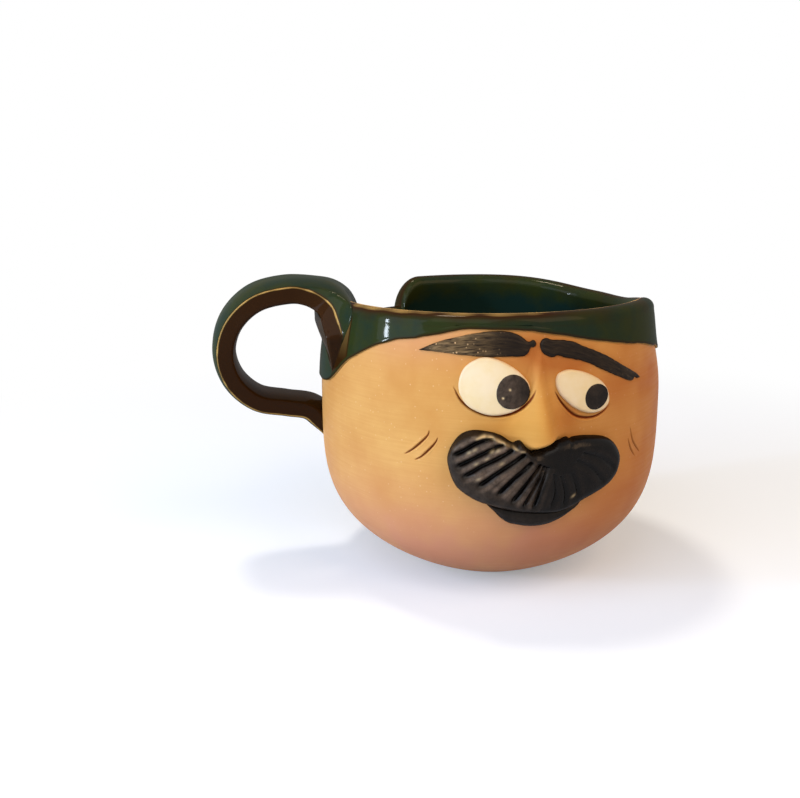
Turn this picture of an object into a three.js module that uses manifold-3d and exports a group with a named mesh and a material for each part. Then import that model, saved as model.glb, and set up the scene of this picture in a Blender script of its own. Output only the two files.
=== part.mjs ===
// Clay cup with a face: turned terracotta bowl, dipped green glaze, pulled ring handle, applied clay face.
// Millimetres, +Z up, origin at the middle of the foot. The face looks along -Y, left is the viewer's left.
import * as THREE from 'three';
import { mergeVertices } from 'three/addons/utils/BufferGeometryUtils.js';
import Module from 'manifold-3d';

const wasm = await Module();
wasm.setup();

// Cup
const cupHeight = 62;
const bellyRadius = 38;
const bellyHeight = 39.5;
const footRadius = 14.5;
const rimRadius = 35.3;
const wallThickness = 3.6;
const floorThickness = 5;
const bowlPower = 4;
const shoulderPower = 2.2;

// Pinched lip: how far the rim is pressed down, and where, in degrees from the face
const backDrop = 2;
const sideDip = 2.8;
const sideDipAngle = 112;
const sideDipSpread = 20;
const notchDepth = 7;
const notchReach = 20;

// Glaze coat
const glazeThickness = 0.4;
const glazeGap = 0.2;
const glazeFront = 2.5;
const glazeBack = 17.5;
const glazeSag = 2.3;
const glazeRun = 3;
const glazeUnderRoot = 1;

// Ring handle
const handleAngle = -92;
const handleHeight = 49.3;
const fingerHole = 22;
const fingerHoleStand = 7.5;
const handleWidth = 15;
const handleTailWidth = 11;
const handleThickness = 5.6;
const rootFlare = 18;
const rootDroop = 7;
const rootDepth = 4;
const handleSkew = 8;

// Face pieces, and the slip joint that beds them
const jointGap = 0.3;
const eyeThickness = 1.4;
const pupilRadiusLeft = 3.3;
const pupilRadiusRight = 2.7;
const pupilThickness = 0.9;
const browThickness = 0.9;
const noseThickness = 5.4;
const moustacheThickness = 3;
const grooveDepth = 0.7;
const grooveStep = 12;
const lipThickness = 1.8;

// The face outlines are drawn on a sheet that wraps the wall: across in mm from the nose line, up in mm
const sheetHeight = 62;
const eyeLeftOutline = [
  [-16.1, 47.9], [-14.9, 52], [-12, 53.8], [-7.6, 53.4], [-4.4, 51.9],
  [-2.3, 49], [-3, 46.1], [-5.2, 44.2], [-9, 43.3], [-13.3, 44.6],
];
const eyeRightOutline = [
  [2.6, 49.8], [3.6, 51.4], [5.5, 51.9], [8.7, 51.2], [12.2, 49.2],
  [15.2, 45.9], [15, 43.5], [12.4, 42.4], [9.3, 43], [5.5, 45.4],
];
const pupilLeft = [-5.7, 48.2];
const pupilRight = [11.3, 46.1];
const browLeftOutline = [
  [-24.3, 55.3], [-19.6, 57.2], [-14.7, 58.5], [-8.2, 59.1], [-3.3, 58],
  [-1.1, 56.9], [-2.7, 55.2], [-9.5, 54.8], [-16.5, 54.8],
];
const browRightOutline = [
  [0.2, 56.6], [1.6, 57.6], [7.5, 56.9], [12.9, 54.6], [17.4, 51.9],
  [25.4, 48.1], [23.2, 47.3], [17.3, 49.6], [12.8, 51.8], [8.2, 53.9], [1.9, 54.9],
];
const noseOutline = [
  [0.2, 53.9], [1.5, 51.5], [1.7, 47], [3, 42], [3.3, 39.2], [0.6, 37.6],
  [-2.6, 37.6], [-5, 39.3], [-4, 42.2], [-1.9, 45.5], [-1.1, 51.5],
];
const moustacheOutline = [
  [-0.9, 35.9], [-5.2, 37.3], [-10.8, 40.1], [-15.6, 38.8], [-17.8, 34.6],
  [-16, 29.5], [-10.3, 25.6], [-2.1, 23.3], [3.8, 23], [9.1, 24.8],
  [15.8, 27.6], [18.2, 33], [16, 36.4], [8.4, 38], [2.6, 36.9],
];
const lipOutline = [
  [-10.2, 24.9], [-6, 23.5], [-2.1, 22.7], [3.8, 22.4], [8.9, 24],
  [7.4, 21.9], [4.8, 20.6], [0.3, 20], [-4.1, 20.5], [-7.2, 21.8],
];
const noseMiddle = [-0.3, 43.5];
const noseTop = 53.9;
const noseTip = 38.5;
const browLeftMiddle = [-9.5, 56.8];
const browRightMiddle = [11.4, 53.9];
const moustacheMiddle = [-0.8, 33.6];
const combMiddle = [-0.8, 38.5];
const lipMiddle = [-0.6, 21.5];

const columns = 60;
const combPoints = 80;
const handleInner = handleThickness * 0.4;
const ringRadius = fingerHole / 2 + handleInner;
const smooth = THREE.MathUtils.smoothstep;
const radians = THREE.MathUtils.degToRad;

// Outside radius of the bare wall at a height
function outerRadius(z) {
  if (z < bellyHeight) {
    const below = (bellyHeight - z) / bellyHeight;
    return footRadius + (bellyRadius - footRadius) * (1 - below ** bowlPower);
  }
  const above = (z - bellyHeight) / (cupHeight - bellyHeight);
  return bellyRadius - (bellyRadius - rimRadius) * above ** shoulderPower;
}

// Inside radius, rounded down to nothing at the middle of the floor
function innerRadius(z) {
  if (z >= bellyHeight) {
    return outerRadius(z) - wallThickness;
  }
  const below = (bellyHeight - z) / (bellyHeight - floorThickness);
  return (bellyRadius - wallThickness) * Math.sqrt(Math.max(0, 1 - below ** 2.6));
}

// How far the pinched rim is pressed down at an angle in degrees from the face
function rimDrop(angle) {
  const turn = THREE.MathUtils.euclideanModulo(angle + 180, 360) - 180;
  const back = backDrop * (1 - Math.cos(radians(turn))) / 2;
  const dip = sideDip * Math.exp(-(((turn - sideDipAngle) / sideDipSpread) ** 2) / 2);
  const fromHandle = turn - handleAngle;
  const notch = notchDepth * smooth(fromHandle, -68, -57) * (1 - smooth(fromHandle, -49, 8));
  return back + dip + notch;
}

// Point at an angle, a radius and a height, lowered with the rim
function pinched(angle, radius, z) {
  const share = smooth(z, cupHeight - notchReach, cupHeight);
  const turn = radians(angle);
  return new THREE.Vector3(
    radius * Math.sin(turn),
    -radius * Math.cos(turn),
    z - rimDrop(angle) * share,
  );
}

// Wall profile from the foot, up the outside, over the lip and down the inside, as [radius, z, out r, out z]
function wallProfile() {
  const rows = [];
  const lip = wallThickness / 2;
  const lipHeight = cupHeight - lip;
  const outside = 12;
  for (let i = 0; i <= outside; i += 1) {
    const z = lipHeight * (i / outside) ** 1.5;
    const slope = (outerRadius(z + 0.01) - outerRadius(Math.max(0, z - 0.01))) / 0.02;
    const length = Math.hypot(1, slope);
    rows.push({ r: outerRadius(z), z, outR: 1 / length, outZ: -slope / length });
  }
  const middle = outerRadius(lipHeight) - lip;
  const turns = 6;
  for (let i = 1; i < turns; i += 1) {
    const turn = Math.PI * i / turns;
    const outR = Math.cos(turn);
    const outZ = Math.sin(turn);
    rows.push({ r: middle + lip * outR, z: lipHeight + lip * outZ, outR, outZ });
  }
  const inside = 9;
  for (let i = 0; i <= inside; i += 1) {
    const fall = Math.sin(Math.PI / 2 * i / inside);
    const z = lipHeight - (lipHeight - floorThickness) * Math.min(fall, 0.9985);
    const step = 0.005;
    const slope = (innerRadius(z + step) - innerRadius(z - step)) / (2 * step);
    const length = Math.hypot(1, slope);
    rows.push({ r: innerRadius(z), z, outR: -1 / length, outZ: slope / length });
  }
  return { rows, outside, crest: outside + turns / 2 };
}

// Closed skin over rings of points, each end closed with a fan, faces out
function skin(rings) {
  const count = rings[0].length;
  const points = rings.flat();
  const first = new THREE.Vector3();
  const last = new THREE.Vector3();
  for (let i = 0; i < count; i += 1) {
    first.addScaledVector(rings[0][i], 1 / count);
    last.addScaledVector(rings.at(-1)[i], 1 / count);
  }
  points.push(first, last);
  const firstMiddle = points.length - 2;
  const lastMiddle = points.length - 1;
  const lastRing = (rings.length - 1) * count;
  const index = [];
  for (let i = 0; i < count; i += 1) {
    const next = (i + 1) % count;
    index.push(firstMiddle, next, i);
    for (let ring = 0; ring < lastRing; ring += count) {
      index.push(ring + i, ring + next, ring + count + i);
      index.push(ring + next, ring + count + next, ring + count + i);
    }
    index.push(lastMiddle, lastRing + i, lastRing + next);
  }
  let volume = 0;
  for (let i = 0; i < index.length; i += 3) {
    const [a, b, c] = [points[index[i]], points[index[i + 1]], points[index[i + 2]]];
    volume += a.dot(b.clone().cross(c));
  }
  if (volume < 0) {
    index.reverse();
  }
  const geometry = new THREE.BufferGeometry().setFromPoints(points);
  geometry.setIndex(index);
  return geometry;
}

function toSolid(geometry) {
  const bare = new THREE.BufferGeometry();
  bare.setAttribute('position', geometry.getAttribute('position'));
  bare.setIndex(geometry.getIndex());
  const merged = mergeVertices(bare, 1e-4);
  const mesh = new wasm.Mesh({
    numProp: 3,
    vertProperties: new Float32Array(merged.getAttribute('position').array),
    triVerts: new Uint32Array(merged.getIndex().array),
  });
  return new wasm.Manifold(mesh);
}

function toGeometry(solid) {
  const mesh = solid.getMesh();
  const geometry = new THREE.BufferGeometry();
  geometry.setAttribute('position', new THREE.BufferAttribute(mesh.vertProperties, 3));
  geometry.setIndex(new THREE.BufferAttribute(mesh.triVerts, 1));
  return geometry;
}

function ringAt(row, offset) {
  const ring = [];
  for (let i = 0; i < columns; i += 1) {
    ring.push(pinched(360 * i / columns, row.r + offset * row.outR, row.z + offset * row.outZ));
  }
  return ring;
}

// Outer form of the bare cup up to the crest of the lip, grown by an offset and filled in, to cut the handle
function filledCup(offset) {
  const { rows, crest } = wallProfile();
  return skin(rows.slice(0, crest + 1).map((row) => ringAt(row, offset)));
}

// Height of the lower edge of the glaze: the cup was dipped tilted to the back, the glaze ran down beside
// the handle, and beneath the handle it reaches lower than the smeared root
function glazeEdge(angle) {
  const turn = radians(angle + 15);
  const dipped = glazeFront + (glazeBack - glazeFront) * (1 - Math.cos(turn)) / 2;
  const sag = glazeSag * Math.sin(turn) ** 2;
  const fromHandle = THREE.MathUtils.euclideanModulo(angle - handleAngle + 180, 360) - 180;
  const run = glazeRun * Math.exp(-(((fromHandle - 28) / 18) ** 2) / 2);
  const edge = cupHeight - dipped - sag - run;
  const rootTurn = THREE.MathUtils.radToDeg((handleWidth + rootFlare) / 2 / bellyRadius);
  const beneathRoot = 1 - smooth(Math.abs(fromHandle), rootTurn * 0.9, rootTurn * 1.3);
  const rootFoot = handleHeight + ringRadius * 0.87 - rootDroop - handleInner - rootDepth / 2;
  return edge - beneathRoot * Math.max(0, edge - rootFoot + glazeUnderRoot);
}

// Glaze coat: exposed face from the floor up and over the lip to the dipped edge, then back beneath
function glazeRings() {
  const { rows, outside } = wallProfile();
  const inside = rows.slice(outside + 1).reverse();
  const band = 4;
  const lipRow = rows[outside];
  const outer = (share) => (angle) => {
    const z = lipRow.z + (Math.min(glazeEdge(angle), lipRow.z - 0.4) - lipRow.z) * share;
    return { r: outerRadius(z), z, outR: 1, outZ: 0 };
  };
  const bandRows = [];
  for (let i = 0; i <= band; i += 1) {
    bandRows.push(outer(i / band));
  }
  const ringOf = (rowAt, offset) => {
    const ring = [];
    for (let i = 0; i < columns; i += 1) {
      const angle = 360 * i / columns;
      const row = rowAt(angle);
      ring.push(pinched(angle, row.r + offset * row.outR, row.z + offset * row.outZ));
    }
    return ring;
  };
  const coat = inside.map((row) => () => row).concat(bandRows);
  const outsideFace = coat.map((rowAt) => ringOf(rowAt, glazeGap + glazeThickness));
  const beneath = coat.map((rowAt) => ringOf(rowAt, glazeGap)).reverse();
  return outsideFace.concat(beneath);
}

// Handle: strap with a flat inner face and a crowned outer face, bent to a ring and smeared on the wall
function handleSkin(grow) {
  const ringMiddle = bellyRadius + fingerHoleStand;
  const points = [
    new THREE.Vector3(rimRadius - wallThickness - 0.5, 0, handleHeight + ringRadius * 0.66),
    new THREE.Vector3(rimRadius - 1, 0, handleHeight + ringRadius * 0.87),
    new THREE.Vector3(bellyRadius + 0.5, 0, handleHeight + ringRadius * 0.975),
  ];
  for (let angle = 90; angle >= -90; angle -= 30) {
    points.push(new THREE.Vector3(
      ringMiddle + ringRadius * Math.cos(radians(angle)),
      0,
      handleHeight + ringRadius * Math.sin(radians(angle)),
    ));
  }
  points.push(new THREE.Vector3(bellyRadius + 2.5, 0, handleHeight - ringRadius * 1.1));
  points.push(new THREE.Vector3(bellyRadius - 2, 0, handleHeight - ringRadius * 1.4));
  points.push(new THREE.Vector3(bellyRadius - 7, 0, handleHeight - ringRadius * 1.8));
  points.forEach((point, i) => {
    point.y = -handleSkew * smooth(i, 3, points.length - 3);
  });
  const path = new THREE.CatmullRomCurve3(points);
  const stations = 30;
  const around = 18;
  const turn = radians(handleAngle - 90);
  const rings = [];
  for (let s = 0; s <= stations; s += 1) {
    const along = s / stations;
    const middle = path.getPointAt(along);
    const tangent = path.getTangentAt(along);
    const across = new THREE.Vector3(0, 1, 0);
    const outward = tangent.clone().cross(across);
    const root = 1 - smooth(along, 0.05, 0.24);
    const strap = THREE.MathUtils.lerp(handleWidth, handleTailWidth, smooth(along, 0.3, 0.9));
    const halfWidth = (strap + rootFlare * root) / 2 + grow;
    const ring = [];
    for (let i = 0; i < around; i += 1) {
      const angle = 2 * Math.PI * i / around;
      const side = Math.sign(Math.cos(angle)) * Math.abs(Math.cos(angle)) ** 0.7;
      const rise = Math.sin(angle);
      const face = rise > 0 ? handleThickness - handleInner : handleInner + rootDepth * root;
      const point = middle.clone();
      point.addScaledVector(across, halfWidth * side);
      point.z -= rootDroop * root * side ** 2;
      point.addScaledVector(outward, (face + grow) * Math.sign(rise) * Math.abs(rise) ** 0.75);
      ring.push(point.applyAxisAngle(new THREE.Vector3(0, 0, 1), turn));
    }
    rings.push(ring);
  }
  return skin(rings);
}

// Point on the wall from the face sheet, standing off the clay by an offset
function onWall(across, up, offset) {
  const z = up * cupHeight / sheetHeight;
  const slope = (outerRadius(z + 0.05) - outerRadius(z - 0.05)) / 0.1;
  const length = Math.hypot(1, slope);
  const turn = across / bellyRadius;
  const radius = outerRadius(z) + offset / length;
  return new THREE.Vector3(
    radius * Math.sin(turn),
    -radius * Math.cos(turn),
    z - offset * slope / length,
  );
}

function middleOf(outline) {
  const sum = outline.reduce((total, [x, y]) => [total[0] + x, total[1] + y], [0, 0]);
  return [sum[0] / outline.length, sum[1] / outline.length];
}

// Clay piece pressed on the wall: its outline is filled with rings, and crown gives the height at each point
function pressedPiece(outline, middle, seat, crown, around = outline.length * 3) {
  const edge = new THREE.CatmullRomCurve3(
    outline.map(([x, y]) => new THREE.Vector3(x, y, 0)),
    true,
    'centripetal',
  ).getPoints(around).slice(0, around);
  const shares = [0.25, 0.55, 0.8, 0.94, 1];
  const ringOf = (share, heightAt) => edge.map((point) => {
    const x = middle[0] + (point.x - middle[0]) * share;
    const y = middle[1] + (point.y - middle[1]) * share;
    return onWall(x, y, seat + heightAt(x, y, share));
  });
  const top = shares.map((share) => ringOf(share, crown));
  const under = [1, 0.75, 0.5, 0.25].map((share) => ringOf(share, () => 0));
  return skin(top.concat(under));
}

// Rounded crown: level in the middle, falling to a low edge
function rounded(thickness, edgeShare, power) {
  return (x, y, share) => thickness * (edgeShare + (1 - edgeShare) * Math.sqrt(1 - share ** power));
}

function disc(middle, radius) {
  const outline = [];
  for (let i = 0; i < 8; i += 1) {
    const angle = Math.PI * i / 4;
    outline.push([middle[0] + radius * Math.cos(angle), middle[1] + radius * Math.sin(angle)]);
  }
  return outline;
}

// Nose: a ridge that grows from the brow to a full tip
function noseCrown(x, y, share) {
  const down = THREE.MathUtils.clamp((noseTop - y) / (noseTop - noseTip), 0, 1);
  const height = noseThickness * (0.16 + 0.84 * smooth(down, 0, 0.95));
  return 0.25 + (height - 0.25) * Math.sqrt(1 - share ** 2);
}

// Moustache: full wings with combed grooves that fan out from under the nose
function moustacheCrown(x, y, share) {
  const fan = Math.atan2(y - combMiddle[1], x - combMiddle[0]) * 180 / Math.PI;
  const comb = 0.5 - 0.5 * Math.cos(2 * Math.PI * fan / grooveStep);
  const full = moustacheThickness * (0.25 + 0.75 * Math.sqrt(1 - share ** 3));
  return full - grooveDepth * comb * smooth(share, 0.2, 0.6);
}

const terracotta = { color: 0xb5714a, roughness: 0.6, metalness: 0 };
const greenGlaze = { color: 0x1f2a1c, roughness: 0.15, metalness: 0 };
const whiteClay = { color: 0xe8e6df, roughness: 0.55, metalness: 0 };
const blackClay = { color: 0x191817, roughness: 0.45, metalness: 0 };

const cup = new THREE.Group();

function addPiece(name, geometry, look) {
  const shaded = geometry.clone();
  shaded.computeVertexNormals();
  const mesh = new THREE.Mesh(shaded, new THREE.MeshStandardMaterial(look));
  mesh.name = name;
  cup.add(mesh);
}

const wall = wallProfile().rows.map((row) => ringAt(row, 0));
addPiece('cup_body', skin(wall), terracotta);

const handleSolid = toSolid(handleSkin(0)).subtract(toSolid(filledCup(jointGap)));
const coat = toSolid(skin(glazeRings())).subtract(toSolid(handleSkin(jointGap)));
addPiece('green_glaze', toGeometry(coat), greenGlaze);
addPiece('handle', toGeometry(handleSolid), greenGlaze);

addPiece('nose', pressedPiece(noseOutline, noseMiddle, jointGap, noseCrown), terracotta);

const eyeCrown = rounded(eyeThickness, 0.35, 6);
addPiece(
  'eye_white_left',
  pressedPiece(eyeLeftOutline, middleOf(eyeLeftOutline), jointGap, eyeCrown),
  whiteClay,
);
addPiece(
  'eye_white_right',
  pressedPiece(eyeRightOutline, middleOf(eyeRightOutline), jointGap, eyeCrown),
  whiteClay,
);

const pupilSeat = jointGap + eyeThickness + jointGap;
const pupilCrown = rounded(pupilThickness, 0.3, 2);
addPiece(
  'pupil_left',
  pressedPiece(disc(pupilLeft, pupilRadiusLeft), pupilLeft, pupilSeat, pupilCrown),
  blackClay,
);
addPiece(
  'pupil_right',
  pressedPiece(disc(pupilRight, pupilRadiusRight), pupilRight, pupilSeat, pupilCrown),
  blackClay,
);

const browCrown = rounded(browThickness, 0.3, 3);
addPiece(
  'brow_left',
  pressedPiece(browLeftOutline, browLeftMiddle, jointGap, browCrown),
  blackClay,
);
addPiece(
  'brow_right',
  pressedPiece(browRightOutline, browRightMiddle, jointGap, browCrown),
  blackClay,
);

addPiece(
  'moustache',
  pressedPiece(moustacheOutline, moustacheMiddle, jointGap, moustacheCrown, combPoints),
  blackClay,
);
addPiece(
  'lower_lip',
  pressedPiece(lipOutline, lipMiddle, jointGap, rounded(lipThickness, 0.3, 2.5)),
  blackClay,
);

export default cup;
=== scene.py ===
import math
import bpy
import numpy as np
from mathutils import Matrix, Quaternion, Vector


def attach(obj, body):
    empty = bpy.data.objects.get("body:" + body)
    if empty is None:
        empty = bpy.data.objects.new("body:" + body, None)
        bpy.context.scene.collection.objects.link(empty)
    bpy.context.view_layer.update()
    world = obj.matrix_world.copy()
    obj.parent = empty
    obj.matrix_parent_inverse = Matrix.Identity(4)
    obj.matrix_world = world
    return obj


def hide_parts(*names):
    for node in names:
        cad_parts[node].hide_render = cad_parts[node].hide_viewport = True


# Clay cup with a face: burnished bowl, dipped green glaze, pulled ring handle and a face of applied clay.
# Forms are worked out in millimetres and go to Blender in metres. The face looks along -Y.
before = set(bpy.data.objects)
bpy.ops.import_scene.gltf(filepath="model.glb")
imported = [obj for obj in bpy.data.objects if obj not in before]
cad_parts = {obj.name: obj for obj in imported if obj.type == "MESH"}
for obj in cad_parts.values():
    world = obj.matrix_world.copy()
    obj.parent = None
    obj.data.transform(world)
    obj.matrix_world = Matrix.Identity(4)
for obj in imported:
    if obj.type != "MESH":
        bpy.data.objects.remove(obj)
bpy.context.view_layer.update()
mm = 0.001
print("frame loaded:", len(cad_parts), "nodes")


# Small tools

def ramp(value, low, high):  # smooth 0 to 1 between two limits
    t = np.clip((np.asarray(value, float) - low) / (high - low), 0, 1)
    return t * t * (3 - 2 * t)


def hump(value, middle, spread):  # bell of height 1
    return np.exp(-((np.asarray(value, float) - middle) / spread) ** 2)


def cloud(across, up, size, seed):  # smooth random field from -1 to 1 with lumps of one size, in mm
    cells = 64  # lumps before the field repeats
    table = np.random.RandomState(seed).uniform(-1, 1, (cells, cells))
    x, y = np.asarray(across, float) / size, np.asarray(up, float) / size
    i, j = np.floor(x).astype(int), np.floor(y).astype(int)
    fx, fy = ramp(x - i, 0, 1), ramp(y - j, 0, 1)
    low, high = (table[i % cells, row % cells] * (1 - fx) + table[(i + 1) % cells, row % cells] * fx
                 for row in (j, j + 1))
    return low * (1 - fy) + high * fy


def steps(parts):  # places on a line, in parts of from, to and step
    return np.concatenate([np.arange(*part) for part in parts])


def smoothLine(points, count, closed=False):  # even points on a smooth curve through a few
    p = np.array(points, float)
    if closed:
        held = np.vstack([p[-1:], p, p[:2]])
    else:
        held = np.vstack([2 * p[:1] - p[1:2], p, 2 * p[-1:] - p[-2:-1]])
    pieces, perSpan = [], 24
    for k in range(len(p) if closed else len(p) - 1):
        near = held[k:k + 4]
        knot = np.r_[0, np.cumsum(np.linalg.norm(np.diff(near, axis=0), axis=1) ** 0.5)]
        t = np.linspace(knot[1], knot[2], perSpan, endpoint=False)[:, None]
        for spans in (((0, 1), (1, 2), (2, 3)), ((0, 2), (1, 3)), ((1, 2),)):  # blends of blends
            near = [((knot[b] - t) * near[i] + (t - knot[a]) * near[i + 1]) / (knot[b] - knot[a])
                    for i, (a, b) in enumerate(spans)]
        pieces.append(near[0])
    line = np.vstack(pieces + [p[:1] if closed else p[-1:]])
    length = np.r_[0, np.cumsum(np.linalg.norm(np.diff(line, axis=0), axis=1))]
    stops = np.linspace(0, length[-1], count, endpoint=not closed)
    return np.stack([np.interp(stops, length, line[:, k]) for k in range(p.shape[1])], axis=1)


def nearLine(u, v, line):  # distance to a drawn line, and the place along it from 0 to 1
    best, along = np.full(np.shape(u), 1e9), np.zeros(np.shape(u))
    for k in range(len(line) - 1):
        a, d = line[k], line[k + 1] - line[k]
        t = np.clip(((u - a[0]) * d[0] + (v - a[1]) * d[1]) / (d @ d), 0, 1)
        gap = np.hypot(u - a[0] - t * d[0], v - a[1] - t * d[1])
        along = np.where(gap < best, (k + t) / (len(line) - 1), along)
        best = np.minimum(gap, best)
    return best, along


def linear(hexColour):  # sRGB hex to the linear colour that shaders take
    parts = [int(hexColour[i:i + 2], 16) / 255 for i in (1, 3, 5)]
    return tuple(c / 12.92 if c <= 0.04045 else ((c + 0.055) / 1.055) ** 2.4 for c in parts) + (1.0,)


def addNode(tree, kind, inputs=(), **settings):  # a shader node, with its inputs by name or in order
    node = tree.nodes.new("ShaderNode" + kind)
    for key, value in settings.items():
        setattr(node, key, value)
    for key, value in (inputs.items() if isinstance(inputs, dict) else enumerate(inputs)):
        if isinstance(value, bpy.types.Node):
            value = value.outputs[0]
        if isinstance(value, bpy.types.NodeSocket):
            tree.links.new(value, node.inputs[key])
        else:
            node.inputs[key].default_value = value
    return node


def startMaterial(name, *marks):  # with its nodes, the spot on the piece and the marks painted there
    material = bpy.data.materials.new(name)
    material.use_nodes = True
    tree = material.node_tree
    tree.nodes.clear()
    spot = addNode(tree, "TexCoord").outputs["Object"]
    carried = {key: addNode(tree, "Attribute", attribute_name=key).outputs["Fac"] for key in marks}
    return material, tree, spot, carried


def endMaterial(tree, ground, layers, relief, roughness, sheen=0.0, skin=None):
    # colours over each other, relief (pattern, strength, mm), low sheen or a clear skin (weight, roughness)
    ground, (pattern, strength, depth) = linear(ground), relief
    for share, tone in layers:
        ground = addNode(tree, "Mix", {0: share, 6: ground, 7: linear(tone)}, data_type="RGBA").outputs[2]
    bump = addNode(tree, "Bump", {"Height": pattern, "Strength": strength, "Distance": depth * mm})
    inputs = {"Base Color": ground, "Roughness": roughness, "Normal": bump, "Specular IOR Level": sheen,
              "IOR": 1.5 if skin else 1.45}
    if skin:
        weight, gloss = skin
        inputs.update({"Coat Weight": weight, "Coat Roughness": gloss, "Coat IOR": 1.5, "Coat Normal": bump})
    addNode(tree, "OutputMaterial", {"Surface": addNode(tree, "BsdfPrincipled", inputs)})


def addObject(name, data):  # an object in the scene
    made = bpy.data.objects.new(name, data)
    bpy.context.scene.collection.objects.link(made)
    return made


def makePiece(name, rings, slotName, paint):
    # closed skin over rings of points, each end closed with a fan, faces out
    rings = np.asarray(rings, float)
    count, around = rings.shape[:2]
    points = np.vstack([rings.reshape(-1, 3), rings[0].mean(axis=0), rings[-1].mean(axis=0)])
    index = np.arange(count * around).reshape(count, around)
    turned = np.roll(index, -1, axis=1)
    quads = np.stack([index[:-1], turned[:-1], turned[1:], index[1:]], axis=-1).reshape(-1, 4)
    first, last = index.size, index.size + 1
    fans = [(first, int(b), int(a)) for a, b in zip(index[0], turned[0])]
    fans += [(last, int(a), int(b)) for a, b in zip(index[-1], turned[-1])]
    triangles = np.vstack([quads[:, [0, 1, 2]], quads[:, [0, 2, 3]], np.array(fans)])
    a, b, c = (points[triangles[:, k]] for k in range(3))
    if np.einsum("ij,ij->i", a, np.cross(b, c)).sum() < 0:  # a negative volume, so the skin is inside out
        quads = quads[:, ::-1]
        fans = [face[::-1] for face in fans]
    mesh = bpy.data.meshes.new(name)
    mesh.from_pydata((points * mm).tolist(), [], quads.tolist() + fans)
    mesh.polygons.foreach_set("use_smooth", [True] * len(mesh.polygons))
    for key, values in paint.items():
        values = np.asarray(values, float)
        layer = mesh.attributes.new(key, "FLOAT", "POINT")
        layer.data.foreach_set("value", np.r_[values.ravel(), values[0].mean(), values[-1].mean()])
    mesh.materials.append(looks[slotName])
    piece = addObject(name, mesh)
    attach(piece, "root")
    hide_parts(name)
    print("piece", name, len(mesh.polygons), "faces")


# Form of the cup, in mm and in degrees from the face

cup = {
    "height": 62, "bellyRadius": 38, "bellyHeight": 39.5, "footRadius": 14.5, "rimRadius": 35.3,
    "wall": 3.6, "floor": 5, "bowlPower": 4, "shoulderPower": 2.2, "hollowPower": 2.6,
    "backDrop": 2, "sideDip": 2.8, "sideDipAngle": 112, "sideDipSpread": 20,
    "notchDepth": 7, "notchReach": 20, "notchCorner": (-72, -62), "notchEnd": (-49, 8), "handleAngle": -92,
    "cornerDrop": 1.1, "cornerFrom": (56, 74), "cornerTo": (92, 116),
    # the right side is pressed in below the lip, around an angle and a height
    "sidePinch": 0.8, "sidePinchAngle": (76, 24), "sidePinchHeight": (53, 7),
}
bellyRadius, bellyHeight = cup["bellyRadius"], cup["bellyHeight"]


def outerRadius(z):
    z = np.asarray(z, float)
    below = np.clip((bellyHeight - z) / bellyHeight, 0, 1)
    above = np.clip((z - bellyHeight) / (cup["height"] - bellyHeight), 0, None)
    bowl = cup["footRadius"] + (bellyRadius - cup["footRadius"]) * (1 - below ** cup["bowlPower"])
    neck = bellyRadius - (bellyRadius - cup["rimRadius"]) * above ** cup["shoulderPower"]
    return np.where(z < bellyHeight, bowl, neck)


def innerRadius(z):
    z = np.asarray(z, float)
    below = np.clip((bellyHeight - z) / (bellyHeight - cup["floor"]), 0, 1)
    bowl = (bellyRadius - cup["wall"]) * np.sqrt(1 - below ** cup["hollowPower"])
    return np.where(z < bellyHeight, bowl, outerRadius(z) - cup["wall"])


# the rounded lip: its radius, and the height and radius of the circle it is swept along
lipRadius = cup["wall"] / 2
lipHeight = cup["height"] - lipRadius
lipMiddle = float(outerRadius(lipHeight)) - lipRadius


def insideHeight(fall):  # down the inside, from 0 at the lip to 1 just short of the middle of the floor
    return lipHeight - (lipHeight - cup["floor"]) * min(math.sin(math.pi / 2 * fall), 0.9985)


def fromFace(angle):  # degrees from the face, from -180 to 180
    return (np.asarray(angle, float) + 180) % 360 - 180


def rimDrop(angle):
    turn = fromFace(angle)
    back = cup["backDrop"] * (1 - np.cos(np.radians(turn))) / 2
    dip = cup["sideDip"] * np.exp(-((turn - cup["sideDipAngle"]) / cup["sideDipSpread"]) ** 2 / 2)
    corner = cup["cornerDrop"] * ramp(turn, *cup["cornerFrom"]) * (1 - ramp(turn, *cup["cornerTo"]))
    fromHandle = turn - cup["handleAngle"]
    start, end = cup["notchCorner"]  # a rounded shoulder that ends almost upright
    shoulder = np.clip((fromHandle - start) / (end - start), 0, 1)
    notch = cup["notchDepth"] * (1 - np.sqrt(1 - shoulder ** 2)) * (1 - ramp(fromHandle, *cup["notchEnd"]))
    return back + dip + corner + notch


def pinched(angle, radius, z):  # point at an angle, radius and height, lowered with the rim
    share = ramp(z, cup["height"] - cup["notchReach"], cup["height"])
    pressed = hump(fromFace(angle), *cup["sidePinchAngle"]) * hump(z, *cup["sidePinchHeight"])
    radius = radius - cup["sidePinch"] * pressed
    turn = np.radians(angle)
    x, y, z = np.broadcast_arrays(radius * np.sin(turn), -radius * np.cos(turn), z - rimDrop(angle) * share)
    return np.stack([x, y, z], axis=-1)


def wallSlope(z):
    step = 0.05
    slope = (outerRadius(z + step) - outerRadius(z - step)) / (2 * step)
    length = np.hypot(1, slope)
    return 1 / length, -slope / length


def onWall(across, up, offset):  # point of the face sheet, standing off the clay
    outR, outZ = wallSlope(up)
    turn = across / bellyRadius
    radius = outerRadius(up) + offset * outR
    return np.stack([radius * np.sin(turn), -radius * np.cos(turn), up + offset * outZ], axis=-1)


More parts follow.
